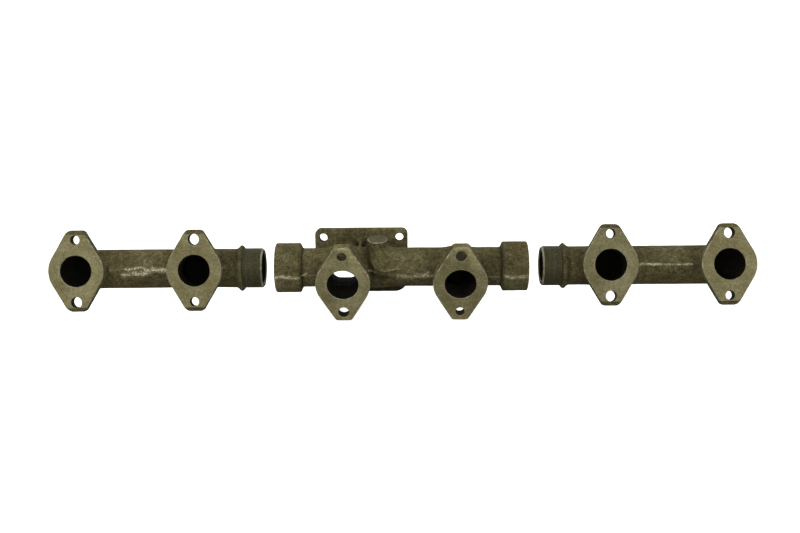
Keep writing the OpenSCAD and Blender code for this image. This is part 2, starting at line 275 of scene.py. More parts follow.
# ---------------------------------------------------------------- distance field to mesh
def surface(f, lo, hi, h):
    ax = [np.arange(l, u + h, h) for l, u in zip(lo, hi)]
    n = [len(a) for a in ax]
    V = np.empty(n, np.float32)
    Y, Z = np.meshgrid(ax[1], ax[2], indexing="ij")
    for i0 in range(0, n[0], 24):
        xs = ax[0][i0:i0 + 24]
        V[i0:i0 + 24] = f(xs[:, None, None], Y[None], Z[None])
    S = V < 0
    c = S[:-1, :-1, :-1].astype(np.int8)
    tot = np.zeros_like(c)
    corners = [(a, b, d) for a in (0, 1) for b in (0, 1) for d in (0, 1)]
    for a, b, d in corners:
        tot += S[a:n[0] - 1 + a, b:n[1] - 1 + b, d:n[2] - 1 + d]
    cells = np.argwhere((tot > 0) & (tot < 8))
    index = np.full(tot.shape, -1, np.int32)
    index[tuple(cells.T)] = np.arange(len(cells))
    vals = np.stack([V[cells[:, 0] + a, cells[:, 1] + b, cells[:, 2] + d] for a, b, d in corners], 1)
    pos = np.zeros((len(cells), 3))
    cnt = np.zeros(len(cells))
    for i, ca in enumerate(corners):
        for j, cb in enumerate(corners):
            if j > i and sum(abs(p - q) for p, q in zip(ca, cb)) == 1:
                va, vb = vals[:, i], vals[:, j]
                m = (va < 0) != (vb < 0)
                t = np.where(m, va / np.where(m, va - vb, 1), 0)
                p = np.array(ca)[None] + t[:, None] * (np.array(cb) - np.array(ca))[None]
                pos[m] += p[m]
                cnt[m] += 1
    P = (cells + pos / cnt[:, None]) * h + np.array(lo)
    quads = []
    for axis in range(3):
        u, v = (axis + 1) % 3, (axis + 2) % 3
        lo_s = [slice(None)] * 3
        hi_s = [slice(None)] * 3
        lo_s[axis], hi_s[axis] = slice(0, -1), slice(1, None)
        a, b = S[tuple(lo_s)], S[tuple(hi_s)]
        e = np.argwhere(a != b)
        e = e[(e[:, u] > 0) & (e[:, v] > 0) & (e[:, u] < n[u] - 1) & (e[:, v] < n[v] - 1)]
        inside = a[tuple(e.T)]
        q = []
        for du, dv in ((-1, -1), (0, -1), (0, 0), (-1, 0)):
            k = e.copy()
            k[:, u] += du
            k[:, v] += dv
            q.append(index[tuple(k.T)])
        q = np.stack(q, 1)
        q[~inside] = q[~inside][:, ::-1]
        quads.append(q)
    F = np.concatenate(quads)
    # pull the points onto the true surface
    e = 0.04
    for _ in range(3):
        x, y, z = P.T
        f0 = f(x, y, z)
        g = np.stack([f(x + e, y, z) - f(x - e, y, z), f(x, y + e, z) - f(x, y - e, z), f(x, y, z + e) - f(x, y, z - e)], 1) / (2 * e)
        g2 = np.maximum((g * g).sum(1), 0.05)
        step = -(f0 / g2)[:, None] * g
        ln = np.linalg.norm(step, axis=1)
        step *= np.minimum(1, 0.35 * h / np.maximum(ln, 1e-9))[:, None]
        P = P + step
    return P, F


def mesh_from(name, P, F):
    me = bpy.data.meshes.new(name)
    P = np.asarray(P, np.float32) / 1000
    k = F.shape[1]
    me.vertices.add(len(P))
    me.vertices.foreach_set("co", P.ravel())
    me.loops.add(F.size)
    me.loops.foreach_set("vertex_index", F.astype(np.int32).ravel())
    me.polygons.add(len(F))
    me.polygons.foreach_set("loop_start", np.arange(0, F.size, k, dtype=np.int32))
    me.update(calc_edges=True)
    me.validate()
    return me


def new_object(name, me):
    ob = bpy.data.objects.new(name, me)
    bpy.context.scene.collection.objects.link(ob)
    return ob


# ---------------------------------------------------------------- cutters
CAST, FACED, EDGE, TURNED, HOLE, INSIDE = range(6)


def loops_mesh(name, loops, cap=True, ring=False, mats=EDGE):
    """A closed skin through equal loops of points. mats is one material number, or one for each band of faces."""
    n = len(loops[0])
    verts = [tuple(p) for L in loops for p in L]
    faces = []
    m = len(loops)
    for i in range(m if ring else m - 1):
        a, b = i * n, ((i + 1) % m) * n
        for j in range(n):
            k = (j + 1) % n
            faces.append((a + j, a + k, b + k, b + j))
    if cap and not ring:
        faces.append(tuple(range(n))[::-1])
        faces.append(tuple(range((m - 1) * n, m * n)))
    me = bpy.data.meshes.new(name)
    me.from_pydata([(x / 1000, y / 1000, z / 1000) for x, y, z in verts], [], faces)
    bands = m if ring else m - 1
    each = list(mats) if isinstance(mats, (list, tuple)) else [mats] * (bands + 2)
    ids = [each[i] for i in range(bands) for _ in range(n)]
    ids += (each[bands:] + [each[-1]] * 2)[:len(faces) - len(ids)]
    me.polygons.foreach_set("material_index", np.array(ids, np.int32))
    bm = bmesh.new()
    bm.from_mesh(me)
    bmesh.ops.recalc_face_normals(bm, faces=bm.faces)
    bm.to_mesh(me)
    bm.free()
    return me


def frame_of(axis):
    a = np.array(axis, float)
    a /= np.linalg.norm(a)
    u = np.cross(a, [0, 0, 1.0]) if abs(a[2]) < 0.9 else np.cross(a, [0, 1.0, 0])
    u /= np.linalg.norm(u)
    return a, u, np.cross(a, u)


def lathe(name, origin, axis, profile, n=128, ring=True, mats=EDGE):
    """Turned solid: profile is (distance along the axis, radius), closed when ring."""
    a, u, w = frame_of(axis)
    o = np.array(origin, float)
    loops = []
    for t, r in profile:
        loops.append([o + a * t + r * (u * math.cos(2 * math.pi * i / n) + w * math.sin(2 * math.pi * i / n)) for i in range(n)])
    return loops_mesh(name, loops, cap=not ring, ring=ring, mats=mats)


def outline_loop(cx, off, y, arc=40, corner=6, rc=3.0):
    """Points round a port flange's outline, moved outward by off."""
    ca, sa = math.cos(TAN_A), math.sin(TAN_A)
    vx = ((FR - rc) - sa * (TIP_H - rc)) / ca
    vz = TIP_H - rc
    pts = []

    def sweep(base, a0, a1, n):
        for i in range(n + 1):
            t = a0 + (a1 - a0) * i / n
            b = base(t)
            pts.append((cx + b[0] + (rc + off) * math.cos(t), y, b[1] + (rc + off) * math.sin(t)))

    arc_c = lambda t: ((FR - rc) * math.cos(t), (FR - rc) * math.sin(t))
    sweep(arc_c, -TAN_A, TAN_A, arc)
    sweep(lambda t: (vx, vz), TAN_A, math.pi / 2, corner)
    sweep(lambda t: (-vx, vz), math.pi / 2, math.pi - TAN_A, corner)
    sweep(arc_c, math.pi - TAN_A, math.pi + TAN_A, arc)
    sweep(lambda t: (-vx, -vz), math.pi + TAN_A, 1.5 * math.pi, corner)
    sweep(lambda t: (vx, -vz), 1.5 * math.pi, 2 * math.pi - TAN_A, corner)
    return pts


def facing_cutter(name, cx, c=1.0):
    """Planes a port flange at y = 0 and breaks its edge by c."""
    return loops_mesh(name, [outline_loop(cx, 6, -8), outline_loop(cx, 6, 6 + c), outline_loop(cx, -c, 0)], mats=[EDGE, EDGE, EDGE, FACED])


def cut(ob, meshes, op="DIFFERENCE"):
    """Applies a boolean with the joined cutters, which don't touch each other."""
    bm = bmesh.new()
    for m in meshes:
        bm.from_mesh(m)
    me = bpy.data.meshes.new("cutter")
    bm.to_mesh(me)
    bm.free()
    tool = new_object("cutter", me)
    for m in ob.data.materials:
        me.materials.append(m)
    before = len(ob.data.polygons)
    for solver in ("MANIFOLD", "EXACT"):
        md = ob.modifiers.new("cut", "BOOLEAN")
        md.operation = op
        md.object = tool
        md.solver = solver
        bpy.context.view_layer.update()
        dg = bpy.context.evaluated_depsgraph_get()
        made = bpy.data.meshes.new_from_object(ob.evaluated_get(dg))
        ob.modifiers.remove(md)
        if len(made.polygons) > 50 and len(made.polygons) != before:
            old = ob.data
            ob.data = made
            bpy.data.meshes.remove(old)
            break
        print("boolean", solver, "left", ob.name, "unchanged")
        bpy.data.meshes.remove(made)
    bpy.data.objects.remove(tool)
    bpy.data.meshes.remove(me)
    for m in meshes:
        bpy.data.meshes.remove(m)


def port_lip(cx):
    return lathe("lip", (cx, 0, 0), (0, 1, 0), [(-1.0, PORT_R + 1.5), (1.0, PORT_R - 0.5)], 96, ring=False, mats=EDGE)


def stud_hole(cx, z, r):
    """Clearance hole with a broken edge, and the spot face behind it for the nut."""
    profile = [(-1.0, r + 1.5), (0.5, r), (13.4, r), (13.4, 10.5), (23.0, 10.5)]
    return lathe("hole", (cx, 0, z), (0, 1, 0), profile, 56, ring=False, mats=[EDGE, HOLE, FACED, CAST, CAST, HOLE])


def turbo_point(u, v, w):
    c, s = math.cos(TILT), math.sin(TILT)
    return (TX + u, AX + w * c + v * s, -w * s + v * c)


def turbo_outline(off, w, n=12):
    pts = []
    for sx, sy, a0, r in ((1, 1, 0, TC), (-1, 1, 90, TC), (-1, -1, 180, TCL), (1, -1, 270, TCL)):
        for i in range(n + 1):
            t = math.radians(a0 + 90 * i / n)
            pts.append(turbo_point(sx * (TW / 2 - r) + (r + off) * math.cos(t), sy * (TH / 2 - r) + LIFT + (r + off) * math.sin(t), w))
    return pts


# ---------------------------------------------------------------- materials
def hexlin(r, g, b):
    """sRGB 0-255 to linear."""
    return tuple(((c / 255) / 12.92 if c <= 10.3 else ((c / 255 + 0.055) / 1.055) ** 2.4) for c in (r, g, b)) + (1.0,)


class Nodes:
    """Small helper for building node trees."""

    def __init__(self, name):
        self.mat = bpy.data.materials.new(name)
        self.mat.use_nodes = True
        self.t = self.mat.node_tree
        self.t.nodes.clear()
        self.out = self.t.nodes.new("ShaderNodeOutputMaterial")
        self.bsdf = self.t.nodes.new("ShaderNodeBsdfPrincipled")
        self.t.links.new(self.bsdf.outputs[0], self.out.inputs[0])
        self.obj = self.t.nodes.new("ShaderNodeTexCoord").outputs["Object"]

    def put(self, sock, v):
        if isinstance(v, bpy.types.NodeSocket):
            self.t.links.new(v, sock)
        else:
            sock.default_value = v

    def mapping(self, scale, rot=(0, 0, 0), loc=(0, 0, 0), vec=None):
        n = self.t.nodes.new("ShaderNodeMapping")
        self.put(n.inputs["Vector"], vec or self.obj)
        n.inputs["Scale"].default_value = scale
        n.inputs["Rotation"].default_value = rot
        n.inputs["Location"].default_value = loc
        return n.outputs[0]

    def noise(self, scale, detail=3.0, rough=0.55, vec=None, dist=0.0, loc=None):
        n = self.t.nodes.new("ShaderNodeTexNoise")
        v = vec or self.obj
        if loc:
            v = self.mapping((1, 1, 1), loc=loc, vec=v)
        self.put(n.inputs["Vector"], v)
        n.inputs["Scale"].default_value = scale
        n.inputs["Detail"].default_value = detail
        n.inputs["Roughness"].default_value = rough
        n.inputs["Distortion"].default_value = dist
        return n.outputs["Fac"]

    def cells(self, scale, vec=None, feature="F1"):
        n = self.t.nodes.new("ShaderNodeTexVoronoi")
        n.feature = feature
        self.put(n.inputs["Vector"], vec or self.obj)
        n.inputs["Scale"].default_value = scale
        return n.outputs["Distance"]

    def attr(self, name):
        n = self.t.nodes.new("ShaderNodeAttribute")
        n.attribute_name = name
        return n.outputs["Fac"]

    def math(self, op, a, b=0.0, c=None, clamp=False):
        n = self.t.nodes.new("ShaderNodeMath")
        n.operation = op
        n.use_clamp = clamp
        self.put(n.inputs[0], a)
        self.put(n.inputs[1], b)
        if c is not None:
            self.put(n.inputs[2], c)
        return n.outputs[0]

    def step(self, v, lo, hi, a=0.0, b=1.0):
        n = self.t.nodes.new("ShaderNodeMapRange")
        n.interpolation_type = "SMOOTHSTEP"
        self.put(n.inputs["Value"], v)
        for k, x in (("From Min", lo), ("From Max", hi), ("To Min", a), ("To Max", b)):
            self.put(n.inputs[k], x)
        return n.outputs[0]

    def mix(self, f, a, b, kind="MIX"):
        n = self.t.nodes.new("ShaderNodeMix")
        n.data_type = "RGBA"
        n.blend_type = kind
        self.put(n.inputs[0], f)
        self.put(n.inputs[6], a)
        self.put(n.inputs[7], b)
        return n.outputs[2]

    def ramp(self, v, stops):
        n = self.t.nodes.new("ShaderNodeValToRGB")
        e = n.color_ramp.elements
        while len(e) < len(stops):
            e.new(0.5)
        for k, (p, c) in zip(e, stops):
            k.position, k.color = p, c
        self.put(n.inputs[0], v)
        return n.outputs[0]

    def scale(self, c, f):
        """Colour times a number."""
        n = self.t.nodes.new("ShaderNodeVectorMath")
        n.operation = "SCALE"
        self.put(n.inputs[0], c)
        self.put(n.inputs["Scale"], f)
        return n.outputs[0]

    def bump(self, h, distance, strength=1.0, normal=None):
        n = self.t.nodes.new("ShaderNodeBump")
        n.inputs["Strength"].default_value = strength
        n.inputs["Distance"].default_value = distance
        self.put(n.inputs["Height"], h)
        if normal:
            self.put(n.inputs["Normal"], normal)
        return n.outputs[0]

    def done(self, color, rough, normal=None, metal=0.0, spec=0.3):
        b = self.bsdf
        self.put(b.inputs["Base Color"], color)
        self.put(b.inputs["Roughness"], rough)
        self.put(b.inputs["Metallic"], metal)
        b.inputs["Specular IOR Level"].default_value = spec
        if normal:
            self.put(b.inputs["Normal"], normal)
        return self.mat


def cast_iron():
    n = Nodes("sand_cast_iron")
    blotch = n.noise(38, 5.0, 0.62)
    col = n.ramp(blotch, [(0.30, (0.050, 0.042, 0.018, 1)), (0.50, (0.077, 0.067, 0.030, 1)), (0.72, (0.112, 0.102, 0.050, 1))])
    # warm oxide in patches
    warm = n.step(n.noise(24, 4.0, 0.6, loc=(3.1, 1.7, 0.4)), 0.50, 0.66, 0.0, 0.5)
    col = n.mix(warm, col, (0.086, 0.064, 0.027, 1))
    # sand grain
    grain = n.noise(560, 3.0, 0.68)
    col = n.scale(col, n.step(grain, 0.28, 0.72, 0.52, 1.56))
    coarse = n.noise(210, 3.0, 0.6, loc=(6.1, 2.7, 3.3))
    col = n.scale(col, n.step(coarse, 0.30, 0.70, 0.72, 1.32))
    pale = n.step(n.noise(900, 1.0, 0.5, loc=(0.7, 0.2, 0.9)), 0.64, 0.76, 0.0, 0.55)
    col = n.mix(pale, col, (0.165, 0.148, 0.082, 1))
    # darkening from the crease attribute is painted shade in concave fillets and under and behind the flanges; handling
    # rubs the edges
    col = n.mix(n.math("MULTIPLY", n.attr("painted_crease_shade"), 0.78), col, (0.016, 0.012, 0.006, 1))
    rub = n.step(n.math("ADD", n.attr("wear"), n.math("MULTIPLY", n.math("SUBTRACT", grain, 0.5), 1.1)), 0.45, 1.0, 0.0, 0.62)
    col = n.mix(rub, col, (0.160, 0.145, 0.083, 1))
    # tone varies lightness along the castings; on the centre casting it also holds painted highlight on top faces and
    # painted shade low down and behind the flanges
    col = n.scale(col, n.attr("tone"))
    # flash ground back to bright metal, in streaks along the parting line
    mark = n.attr("scar")
    streak = n.math("SUBTRACT", n.noise(1.0, 4.0, 0.7, vec=n.mapping((150, 260, 560), loc=(2.2, 5.1, 1.3))), 0.5)
    fine = n.math("SUBTRACT", n.noise(430, 3.0, 0.7, loc=(0.4, 1.9, 7.3)), 0.5)
    haze = n.step(n.math("ADD", mark, n.math("MULTIPLY", streak, 0.9)), 0.12, 0.66, 0.0, 0.78)
    col = n.mix(haze, col, (0.165, 0.148, 0.082, 1))
    ragged = n.math("ADD", mark, n.math("ADD", n.math("MULTIPLY", streak, 1.7), n.math("MULTIPLY", fine, 1.3)))
    bright = n.step(ragged, 0.52, 0.92)
    tone = n.ramp(n.noise(480, 2.0, 0.6, loc=(4.4, 0.3, 2.2)), [(0.36, (0.21, 0.188, 0.100, 1)), (0.52, (0.36, 0.33, 0.20, 1)), (0.66, (0.72, 0.68, 0.48, 1))])
    col = n.mix(bright, col, tone)
    rough = n.math("ADD", n.step(grain, 0.3, 0.7, 0.66, 0.86), n.math("MULTIPLY", bright, -0.25))
    low = n.math("MULTIPLY", coarse, 0.6)
    pits = n.step(n.cells(430), 0.0, 0.55, -0.5, 0.2)
    h = n.math("ADD", n.math("ADD", grain, low), n.math("MULTIPLY", pits, 0.5))
    h = n.math("ADD", h, n.math("MULTIPLY", bright, 0.9))
    return n.done(col, rough, n.bump(h, 0.00048, 0.70), metal=0.20, spec=0.02)


def faced_iron():
    n = Nodes("faced_iron")
    blotch = n.noise(46, 5.0, 0.66, loc=(1.2, 0.3, 2.4))
    col = n.ramp(blotch, [(0.30, (0.116, 0.102, 0.045, 1)), (0.50, (0.166, 0.150, 0.073, 1)), (0.72, (0.222, 0.205, 0.110, 1))])
    stain = n.step(n.noise(30, 4.0, 0.65, loc=(5.5, 2.1, 0.2)), 0.50, 0.68, 0.0, 0.60)
    col = n.mix(stain, col, (0.130, 0.102, 0.044, 1))
    # fine pitting left by the coarse skin
    peppered = n.noise(340, 3.0, 0.68, loc=(7.7, 0.9, 4.1))
    col = n.scale(col, n.step(peppered, 0.30, 0.70, 0.77, 1.24))
    spots = n.step(n.noise(190, 3.0, 0.6, loc=(0.4, 3.3, 1.8)), 0.58, 0.70, 0.0, 0.45)
    col = n.mix(spots, col, (0.072, 0.060, 0.028, 1))
    # cutter marks and handling scratches
    marks = n.noise(1.0, 2.0, 0.6, vec=n.mapping((45, 45, 1500), rot=(0, 0.35, 0)))
    marks2 = n.noise(1.0, 2.0, 0.5, vec=n.mapping((38, 38, 900), rot=(0, -0.8, 0)))
    col = n.scale(col, n.step(marks, 0.3, 0.7, 0.88, 1.12))
    scratch = n.step(marks2, 0.68, 0.75, 0.0, 0.55)
    col = n.mix(scratch, col, (0.250, 0.232, 0.145, 1))
    bright = n.step(n.math("ADD", n.attr("scar"), n.math("MULTIPLY", n.math("SUBTRACT", n.noise(420, 2.0), 0.5), 0.8)), 0.55, 0.75)
    col = n.mix(bright, col, (0.36, 0.34, 0.22, 1))
    # tone varies lightness along the castings; on the centre casting it also holds painted highlight on top faces and
    # painted shade low down and behind the flanges
    col = n.scale(col, n.attr("tone"))
    rough = n.step(blotch, 0.3, 0.7, 0.50, 0.64)
    h = n.math("ADD", n.math("MULTIPLY", marks, 0.5), n.math("MULTIPLY", peppered, 0.5))
    return n.done(col, rough, n.bump(h, 0.00016, 0.55), metal=0.30, spec=0.10)


def edge_iron():
    n = Nodes("rubbed_edge")
    v = n.noise(140, 4.0, 0.65)
    col = n.ramp(v, [(0.32, (0.105, 0.092, 0.044, 1)), (0.50, (0.215, 0.198, 0.112, 1)), (0.68, (0.40, 0.38, 0.25, 1))])
    return n.done(col, n.step(v, 0.3, 0.7, 0.55, 0.38), n.bump(n.noise(600, 2.0), 0.0001, 0.4), metal=0.4, spec=0.3)


def turned_iron():
    n = Nodes("turned_iron")
    lines = n.noise(1.0, 3.0, 0.7, vec=n.mapping((1900, 22, 22)))
    wide = n.noise(1.0, 2.0, 0.6, vec=n.mapping((260, 14, 14), loc=(0.3, 0, 0)))
    col = n.ramp(n.math("ADD", n.math("MULTIPLY", lines, 0.55), n.math("MULTIPLY", wide, 0.45)), [(0.32, (0.029, 0.026, 0.012, 1)), (0.52, (0.046, 0.042, 0.022, 1)), (0.70, (0.072, 0.067, 0.038, 1))])
    col = n.scale(col, n.step(n.noise(330, 3.0, 0.66, loc=(3.7, 4.9, 1.1)), 0.30, 0.70, 0.80, 1.20))
    stain = n.step(n.noise(42, 4.0, 0.6, loc=(2.0, 0.6, 1.0)), 0.52, 0.68, 0.0, 0.5)
    col = n.mix(stain, col, (0.046, 0.037, 0.018, 1))
    nicks = n.step(n.noise(300, 2.0, 0.6, loc=(1.0, 4.0, 2.0)), 0.68, 0.75, 0.0, 0.6)
    col = n.mix(nicks, col, (0.22, 0.205, 0.135, 1))
    return n.done(col, n.step(lines, 0.3, 0.7, 0.46, 0.60), n.bump(lines, 0.00010, 0.6), metal=0.35, spec=0.04)


def hole_iron_painted_shade():
    n = Nodes("drilled_hole_painted_shade")
    rings = n.noise(1.0, 2.0, 0.6, vec=n.mapping((60, 1400, 60)))
    # painted shade: the drilled walls are coloured near-black as if shadowed
    col = n.ramp(n.math("ADD", n.math("MULTIPLY", rings, 0.5), n.math("MULTIPLY", n.noise(160, 4.0, 0.6), 0.5)), [(0.35, (0.018, 0.014, 0.006, 1)), (0.65, (0.058, 0.048, 0.023, 1))])
    return n.done(col, n.step(rings, 0.3, 0.7, 0.55, 0.72), n.bump(rings, 0.0001, 0.5), metal=0.2, spec=0.03)


def inside_iron_painted_shade():
    n = Nodes("gas_way_painted_shade")
    grain = n.noise(420, 3.0, 0.6)
    # painted shade: the gas ways are coloured near-black as if unlit
    col = n.ramp(n.math("ADD", n.math("MULTIPLY", n.noise(60, 4.0), 0.6), n.math("MULTIPLY", grain, 0.4)), [(0.36, (0.004, 0.0035, 0.0025, 1)), (0.62, (0.014, 0.012, 0.008, 1))])
    return n.done(col, n.step(grain, 0.3, 0.7, 0.84, 0.95), n.bump(grain, 0.0004, 0.6), metal=0.0, spec=0.05)


def ring_iron():
    n = Nodes("ring_iron")
    lines = n.noise(1.0, 3.0, 0.6, vec=n.mapping((2600, 30, 30)))
    col = n.ramp(lines, [(0.34, (0.075, 0.075, 0.072, 1)), (0.66, (0.17, 0.17, 0.16, 1))])
    stain = n.step(n.noise(130, 3.0, 0.6), 0.55, 0.7, 0.0, 0.5)
    col = n.mix(stain, col, (0.060, 0.052, 0.038, 1))
    return n.done(col, n.step(lines, 0.3, 0.7, 0.30, 0.46), n.bump(lines, 0.00006, 0.5), metal=0.7, spec=0.4)


MATS = [cast_iron(), faced_iron(), edge_iron(), turned_iron(), hole_iron_painted_shade(), inside_iron_painted_shade()]


# ---------------------------------------------------------------- attributes
def finish_mesh(ob, inner, scars, tone, painted_shadow_strokes=()):
    """Sorts the cast faces into outside and gas ways, and writes wear, painted crease shade, scar and tone (with
    painted light on the centre casting) on the points.
    """
    me = ob.data
    nf, nv, ne = len(me.polygons), len(me.vertices), len(me.edges)
    co = np.empty(nv * 3, np.float32)
    me.vertices.foreach_get("co", co)
    P = co.reshape(-1, 3).astype(float) * 1000
    mid = np.empty(nf * 3, np.float32)
    me.polygons.foreach_get("center", mid)
    mid = mid.reshape(-1, 3).astype(float) * 1000
    ids = np.empty(nf, np.int32)
    me.polygons.foreach_get("material_index", ids)
    gas = np.abs(inner(mid[:, 0], mid[:, 1], mid[:, 2])) < 0.55
    ids[(ids == CAST) & gas] = INSIDE
    me.polygons.foreach_set("material_index", ids)
    no = np.empty(nv * 3, np.float32)
    me.vertices.foreach_get("normal", no)
    N = no.reshape(-1, 3).astype(float)
    ed = np.empty(ne * 2, np.int32)
    me.edges.foreach_get("vertices", ed)
    ed = ed.reshape(-1, 2)
    d = P[ed[:, 1]] - P[ed[:, 0]]
    c = ((N[ed[:, 1]] - N[ed[:, 0]]) * d).sum(1) / np.maximum((d * d).sum(1), 0.25)
    acc, cnt = np.zeros(nv), np.zeros(nv)
    for k in (0, 1):
        np.add.at(acc, ed[:, k], c)
        np.add.at(cnt, ed[:, k], 1)
    curv = acc / np.maximum(cnt, 1)
    # one smoothing pass along the edges
    for _ in range(2):
        acc2 = curv * 1.0
        cnt2 = np.ones(nv)
        np.add.at(acc2, ed[:, 0], curv[ed[:, 1]])
        np.add.at(acc2, ed[:, 1], curv[ed[:, 0]])
        np.add.at(cnt2, ed[:, 0], 1)
        np.add.at(cnt2, ed[:, 1], 1)
        curv = acc2 / cnt2
    sm = lambda v, a, b: (lambda t: t * t * (3 - 2 * t))(np.clip((v - a) / (b - a), 0, 1))
    scar = np.zeros(nv)
    X, Y, Z = P.T
    for pts, w, amp in scars:
        e = amp * np.exp(-((path2(X, Z, pts) / w) ** 2)) * ((Y < AX + 4) & (Y > 6))
        scar = np.maximum(scar, e)
    # painted shade: concave creases are darkened, and the listed strokes darken where shadow falls under and behind the
    # flanges
    painted_shade_mask = sm(-curv, 0.02, 0.13)
    for pts, w, amp in painted_shadow_strokes:
        painted_shade_mask = np.maximum(painted_shade_mask, amp * np.exp(-((path2(X, Z, pts) / w) ** 2)) * ((Y < AX + 14) & (Y > 10)))
    shade = tone(X, Y, Z) * np.ones(nv)
    for name, v in (("wear", sm(curv, 0.09, 0.32)), ("painted_crease_shade", np.clip(painted_shade_mask, 0, 1)), ("scar", np.clip(scar, 0, 1)), ("tone", shade)):
        a = me.attributes.new(name, "FLOAT", "POINT")
        a.data.foreach_set("value", v.astype(np.float32))
    me.shade_smooth()
    me.set_sharp_from_angle(angle=math.radians(33))


def solid(name, field, lo, hi, h):
    """Meshes a field, moving the grid a little if a cell comes out ambiguous."""
    for k in range(4):
        off = 0.23 * k
        P, F = surface(field, [v - off for v in lo], hi, h)
        ob = new_object(name, mesh_from(name, P, F))
        bm = bmesh.new()
        bm.from_mesh(ob.data)
        bad = sum(1 for e in bm.edges if not e.is_manifold)
        bm.free()
        if not bad:
            break
        print(name, "grid", k, "left", bad, "open edges")
        if k < 3:
            me = ob.data
            bpy.data.objects.remove(ob)
            bpy.data.meshes.remove(me)
    for m in MATS:
        ob.data.materials.append(m)
    return ob


# ---------------------------------------------------------------- end castings
def make_end(name, seed, holes, marks, scars, tone, mirror, x0, lean):
    ob = solid(name, end_casting(seed, marks), (-115, -6, -56), (162, 82, 56), VOX)
    (ot, obm), (it, ib) = holes
    turn = [(BEAD_X + 4.2, SPIG_R), (SPIG_END - 2.0, SPIG_R), (SPIG_END, SPIG_R - 1.8), (SPIG_END, BORE_R + 1.6), (SPIG_END - 2.2, BORE_R - 0.8),
            (SPIG_END + 8, BORE_R - 0.8), (SPIG_END + 8, 45), (BEAD_X + 2.4, 45), (BEAD_X + 2.4, 31.5), (BEAD_X + 3.1, 27.4)]
    cut(ob, [facing_cutter("face", -HALF), facing_cutter("face", HALF),
             lathe("turn", (0, AX, 0), (1, 0, 0), turn, 144, mats=[TURNED, EDGE, TURNED, EDGE, TURNED, TURNED, TURNED, TURNED, TURNED, TURNED])])
    cut(ob, [port_lip(-HALF), port_lip(HALF)] + [stud_hole(x, z, r) for x, z, r in
            ((-HALF, STUD, ot), (-HALF, -STUD, obm), (HALF, STUD, it), (HALF, -STUD, ib))])
    if mirror:
        bm = bmesh.new()
        bm.from_mesh(ob.data)
        for v in bm.verts:
            v.co.x = -v.co.x
        bmesh.ops.reverse_faces(bm, faces=bm.faces)
        bm.to_mesh(ob.data)
        bm.free()
    sg = -1 if mirror else 1
    finish_mesh(ob, lambda X, Y, Z: end_inner(sg * X, Y, Z), scars, tone)
    up = Matrix.Translation((0, AX / 1000, 0)) @ Matrix.Rotation(-lean, 4, "X") @ Matrix.Translation((0, -AX / 1000, 0))
    ob.matrix_world = Matrix.Translation((x0 / 1000, 0, 0)) @ up
    return ob


left = make_end("left_casting", 0, ((SMALL, LARGE), (LARGE, SMALL)),
    marks=[([(-38.4, -2.5), (-38.2, 2.5)], 2.6, 2.4), ([(-19, 1.2), (7, 1.0)], 2.2, 0.6), ([(-22, -6.0), (8, -5.4)], 2.8, 0.6), ([(8, -1.0), (33, -0.8)], 2.6, 0.8), ([(108.6, 2.4), (109.6, 2.8)], 1.6, 1.0)],
    scars=[([(-18, 0.2), (-6, 1.8), (3, 3.0), (9, 0.6)], 2.7, 0.80), ([(-23, -6.6), (-8, -5.0), (4, -6.0), (10, -3.6)], 3.8, 0.84), ([(-14, -3.2), (2, -2.2)], 3.6, 0.60), ([(8, -1.8), (20, -0.2), (34, -1.0)], 4.2, 1.0),
           ([(3.2, 3), (5.8, 9), (5.0, 13)], 1.5, 0.60), ([(-38, 0.3), (-20, 0.3)], 1.3, 0.56), ([(-38.6, -1), (-38.4, 1.5)], 1.6, 0.75), ([(108.6, 2.4), (109.6, 2.8)], 1.5, 0.8)],
    tone=lambda X, Y, Z: 1.12 - 0.0005 * (X + HALF), mirror=False, x0=LEFT_X, lean=LEFT_LEAN)
right = make_end("right_casting", 40, ((LARGE, SMALL), (SMALL, LARGE)),
    marks=[([(-40, 0.3), (34, 0.3)], 1.9, 0.6), ([(118, 2.9), (119.5, 2.9)], 1.7, 1.0)],
    scars=[([(-41, -0.4), (-30, 0.8), (-20, 0.3), (8, 0.1), (34, 0.4)], 2.1, 0.76), ([(-17, 0.2), (-9, 0.6)], 2.2, 0.9), ([(-36, -1.6), (-30, -0.6)], 1.8, 0.62), ([(2, -1.4), (16, -0.4)], 1.8, 0.6), ([(-118, 2.9), (-119.5, 2.9)], 1.5, 0.7)],
    tone=lambda X, Y, Z: 0.90 + 0.0011 * (X + HALF), mirror=True, x0=RIGHT_X, lean=RIGHT_LEAN)

# ---------------------------------------------------------------- centre casting
LIP = [(-2, 9.0), (-6, 10.1), (-12, 8.2), (-20, 6.5), (-27, 7.6), (-34, 11.2), (-39, 16.5)]
VALLEY = [(-48, 32), (-43, 20), (-41, 10), (-39, 1)]
centre = solid("centre_casting", centre_casting(
    [(LIP, 2.1, 2.3), ([(-46, 6.5), (-40, 5.2), (-34, 4.0)], 1.6, 0.8), ([(-2, -0.4), (41, -0.8)], 2.2, 0.6), ([(22, 0.2), (34, 2.2)], 2.4, 0.5),
     ([(-166, 1.7), (-134, 1.5)], 2.0, 0.6), ([(134, 0.5), (166, 0.5)], 1.9, 0.6), ([(-126, 2.4), (-122, 2.8)], 2.0, 0.9)]),
    (-168, -6, -58), (168, 124, 56), 1.48)
sock = [(-8, 45), (13.5, 45), (0, 31.5), (0, SOCK_BORE + 1.5), (1.5, SOCK_BORE)]
sock_m = [TURNED, EDGE, TURNED, EDGE]
for g in GROOVES:
    sock += [(g - GROOVE_W / 2, SOCK_BORE), (g - GROOVE_W / 2, GROOVE_R), (g + GROOVE_W / 2, GROOVE_R), (g + GROOVE_W / 2, SOCK_BORE)]
    sock_m += [TURNED] * 4
sock += [(SOCK_D, SOCK_BORE), (SOCK_D, 15)]
sock_m += [TURNED] * 4
c, s = math.cos(TILT), math.sin(TILT)
normal = (0, c, -s)
